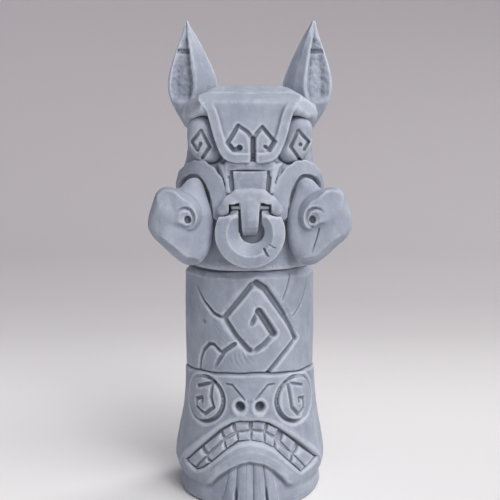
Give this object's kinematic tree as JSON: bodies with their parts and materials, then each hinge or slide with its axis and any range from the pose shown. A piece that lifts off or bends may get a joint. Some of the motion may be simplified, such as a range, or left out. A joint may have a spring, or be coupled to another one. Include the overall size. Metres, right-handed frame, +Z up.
{
  "type": "tiki totem figure",
  "caption": "Free-standing carved stone totem: a scowling face block, a glyph drum and a horned beast's head with pointed ears, curled tusks and a swinging nose ring.",
  "frame": {"origin": "centre of the foot, on the surface the figure stands on", "axes": "+Z up through the stack, the faces look along -Y, and +X is the viewer's right"},
  "size_m": [0.1218, 0.1048, 0.3],
  "materials": {
    "carved_stone": "matte blue-grey, hand-carved with soft worn edges",
    "inlaid_stone": "matte blue-grey, slightly smoother than the blocks",
    "pin_steel": "plain ground steel"
  },
  "bodies": {
    "figure": {"lower_block": "carved_stone", "middle_drum": "carved_stone", "upper_block": "carved_stone", "beard": "carved_stone", "brow_plate": "carved_stone", "snout": "carved_stone", "left_ear": "carved_stone", "left_tusk": "carved_stone", "left_cheek_band": "carved_stone", "right_ear": "carved_stone", "right_tusk": "carved_stone", "right_cheek_band": "carved_stone", "upper_tooth_1": "inlaid_stone", "upper_tooth_2": "inlaid_stone", "upper_tooth_3": "inlaid_stone", "upper_tooth_4": "inlaid_stone", "upper_tooth_5": "inlaid_stone", "upper_tooth_6": "inlaid_stone", "upper_tooth_7": "inlaid_stone", "upper_tooth_8": "inlaid_stone", "lower_tooth_1": "inlaid_stone", "lower_tooth_2": "inlaid_stone", "lower_tooth_3": "inlaid_stone", "lower_tooth_4": "inlaid_stone", "lower_tooth_5": "inlaid_stone", "lower_tooth_6": "inlaid_stone", "lower_tooth_7": "inlaid_stone", "lower_tooth_8": "inlaid_stone", "left_upper_eye": "inlaid_stone", "left_lower_eye": "inlaid_stone", "right_upper_eye": "inlaid_stone", "right_lower_eye": "inlaid_stone", "lower_dowel": "pin_steel", "upper_dowel": "pin_steel", "brow_plate_peg": "pin_steel", "snout_peg": "pin_steel", "ring_pin": "pin_steel", "left_ear_peg": "pin_steel", "left_tusk_peg": "pin_steel", "right_ear_peg": "pin_steel", "right_tusk_peg": "pin_steel"},
    "ring": {"nose_ring": "carved_stone"}
  },
  "joints": [
    {"name": "ring_swing", "type": "hinge", "parent": "figure", "child": "ring", "pos_m": [0, -0.048, 0.1883], "axis": [-1, 0, 0], "range_deg": [0, 65]}
  ]
}
